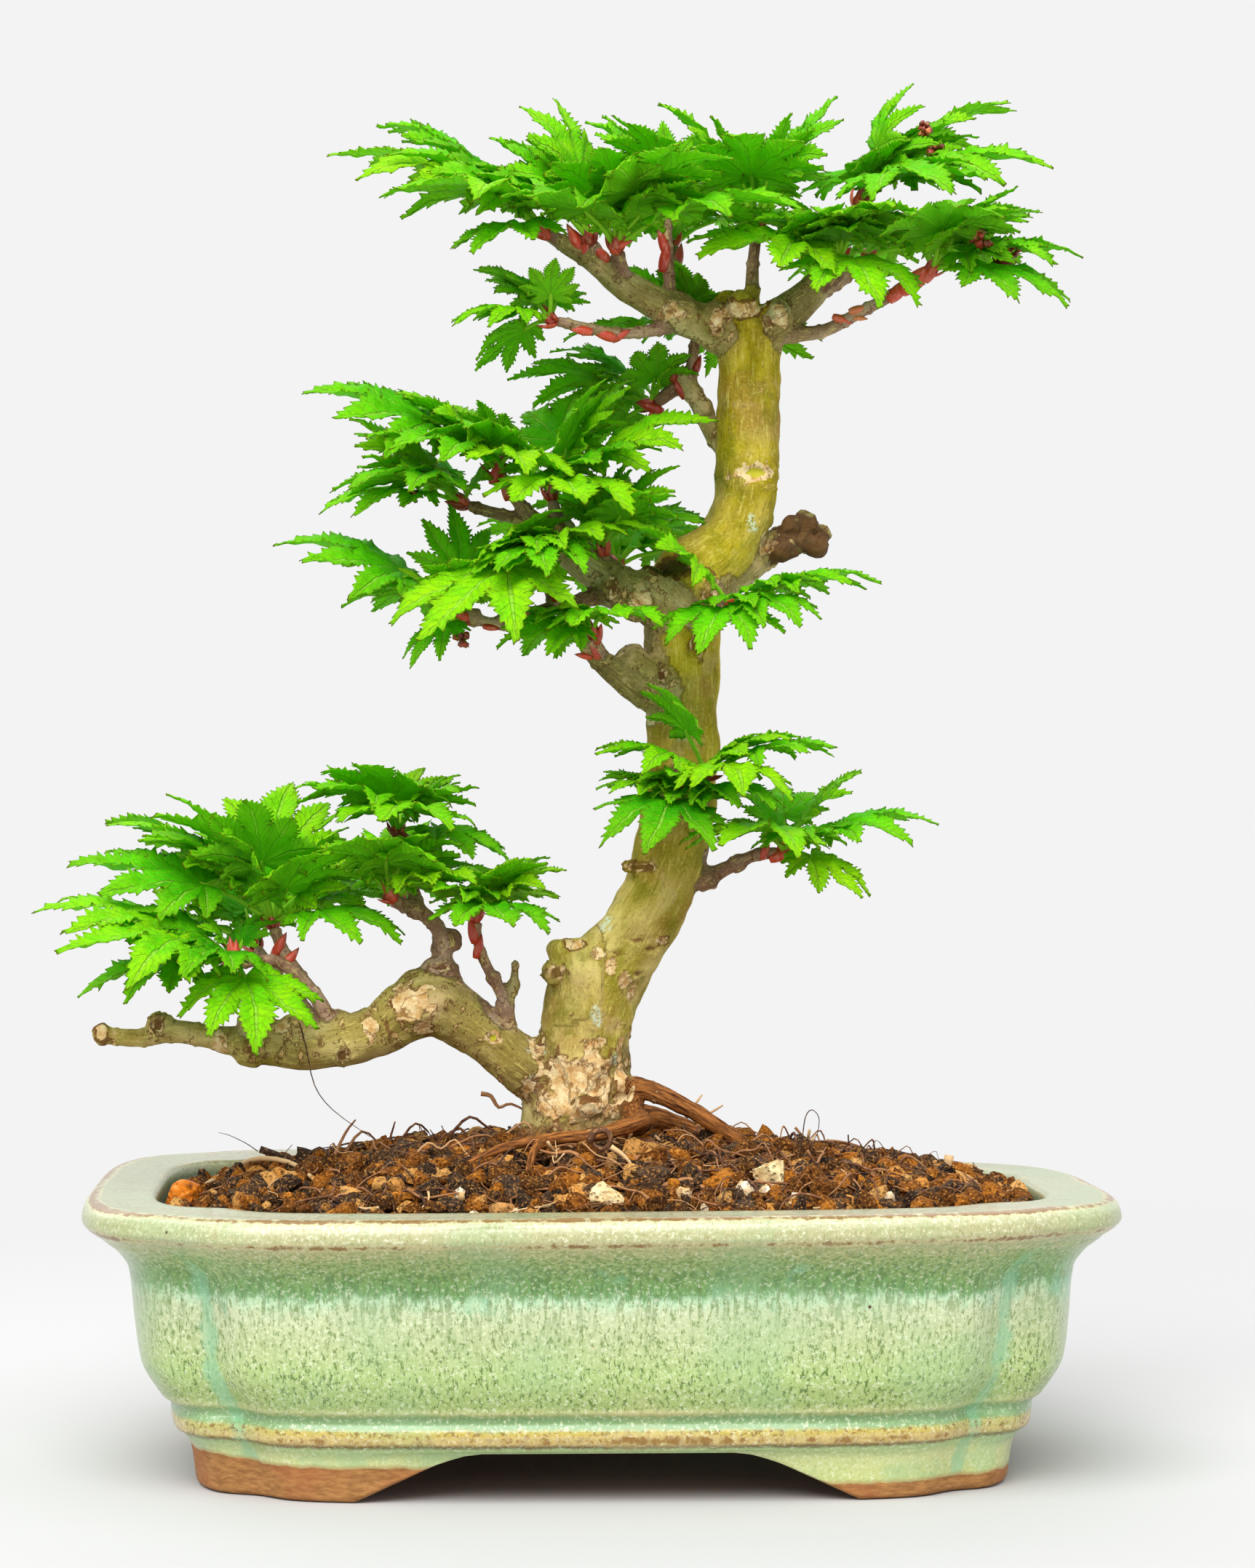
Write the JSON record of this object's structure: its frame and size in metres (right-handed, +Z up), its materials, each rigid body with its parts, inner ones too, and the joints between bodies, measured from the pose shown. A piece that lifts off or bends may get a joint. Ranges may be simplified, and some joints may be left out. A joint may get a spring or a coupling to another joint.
{
  "type": "bonsai tree in a pot",
  "caption": "Leafy maple bonsai with a leaning trunk and a long low branch, in a shallow green-glazed oval-cornered pot on low feet.",
  "frame": {"origin": "on the floor, at the middle of the bounding box of the pot and tree together", "axes": "+Z up, +X to the right along the pot's long side seen from the front, +Y towards the back"},
  "size_m": [0.255, 0.176, 0.3313],
  "materials": {
    "celadon_glaze": "gloss",
    "soil_grains": "matte",
    "maple_bark": "matte",
    "young_leaf": "satin",
    "netting_plastic": "matte",
    "orange_stone": "matte",
    "pale_pumice": "matte",
    "dead_root": "matte"
  },
  "bodies": {
    "root": {"dead_root_left": "dead_root", "dead_root_loop": "dead_root", "dead_twig_right": "dead_root", "drain_mesh_left": "netting_plastic", "drain_mesh_right": "netting_plastic", "pebble_orange": "orange_stone", "pot": "celadon_glaze", "pumice_front": "pale_pumice", "pumice_right": "pale_pumice", "pumice_small": "pale_pumice", "shoot_back_left": "young_leaf", "shoot_crown_back_left": "young_leaf", "shoot_crown_back_right": "young_leaf", "shoot_crown_left_1": "young_leaf", "shoot_crown_left_2": "young_leaf", "shoot_crown_left_3": "young_leaf", "shoot_crown_left_4": "young_leaf", "shoot_crown_low_left": "young_leaf", "shoot_crown_middle": "young_leaf", "shoot_crown_right_1": "young_leaf", "shoot_crown_right_2": "young_leaf", "shoot_crown_right_3": "young_leaf", "shoot_low_left_1": "young_leaf", "shoot_low_left_2": "young_leaf", "shoot_low_left_3": "young_leaf", "shoot_low_left_4": "young_leaf", "shoot_low_left_5": "young_leaf", "shoot_low_left_6": "young_leaf", "shoot_low_left_back": "young_leaf", "shoot_low_right": "young_leaf", "shoot_pad_back": "young_leaf", "shoot_pad_left_1": "young_leaf", "shoot_pad_left_2": "young_leaf", "shoot_pad_left_3": "young_leaf", "shoot_pad_left_4": "young_leaf", "shoot_pad_left_5": "young_leaf", "shoot_pad_left_6": "young_leaf", "shoot_pad_left_7": "young_leaf", "shoot_pad_right": "young_leaf", "shoot_trunk_front_1": "young_leaf", "shoot_trunk_front_2": "young_leaf", "shoot_under_crown": "young_leaf", "soil": "soil_grains", "tree_wood": "maple_bark"}
  },
  "joints": []
}
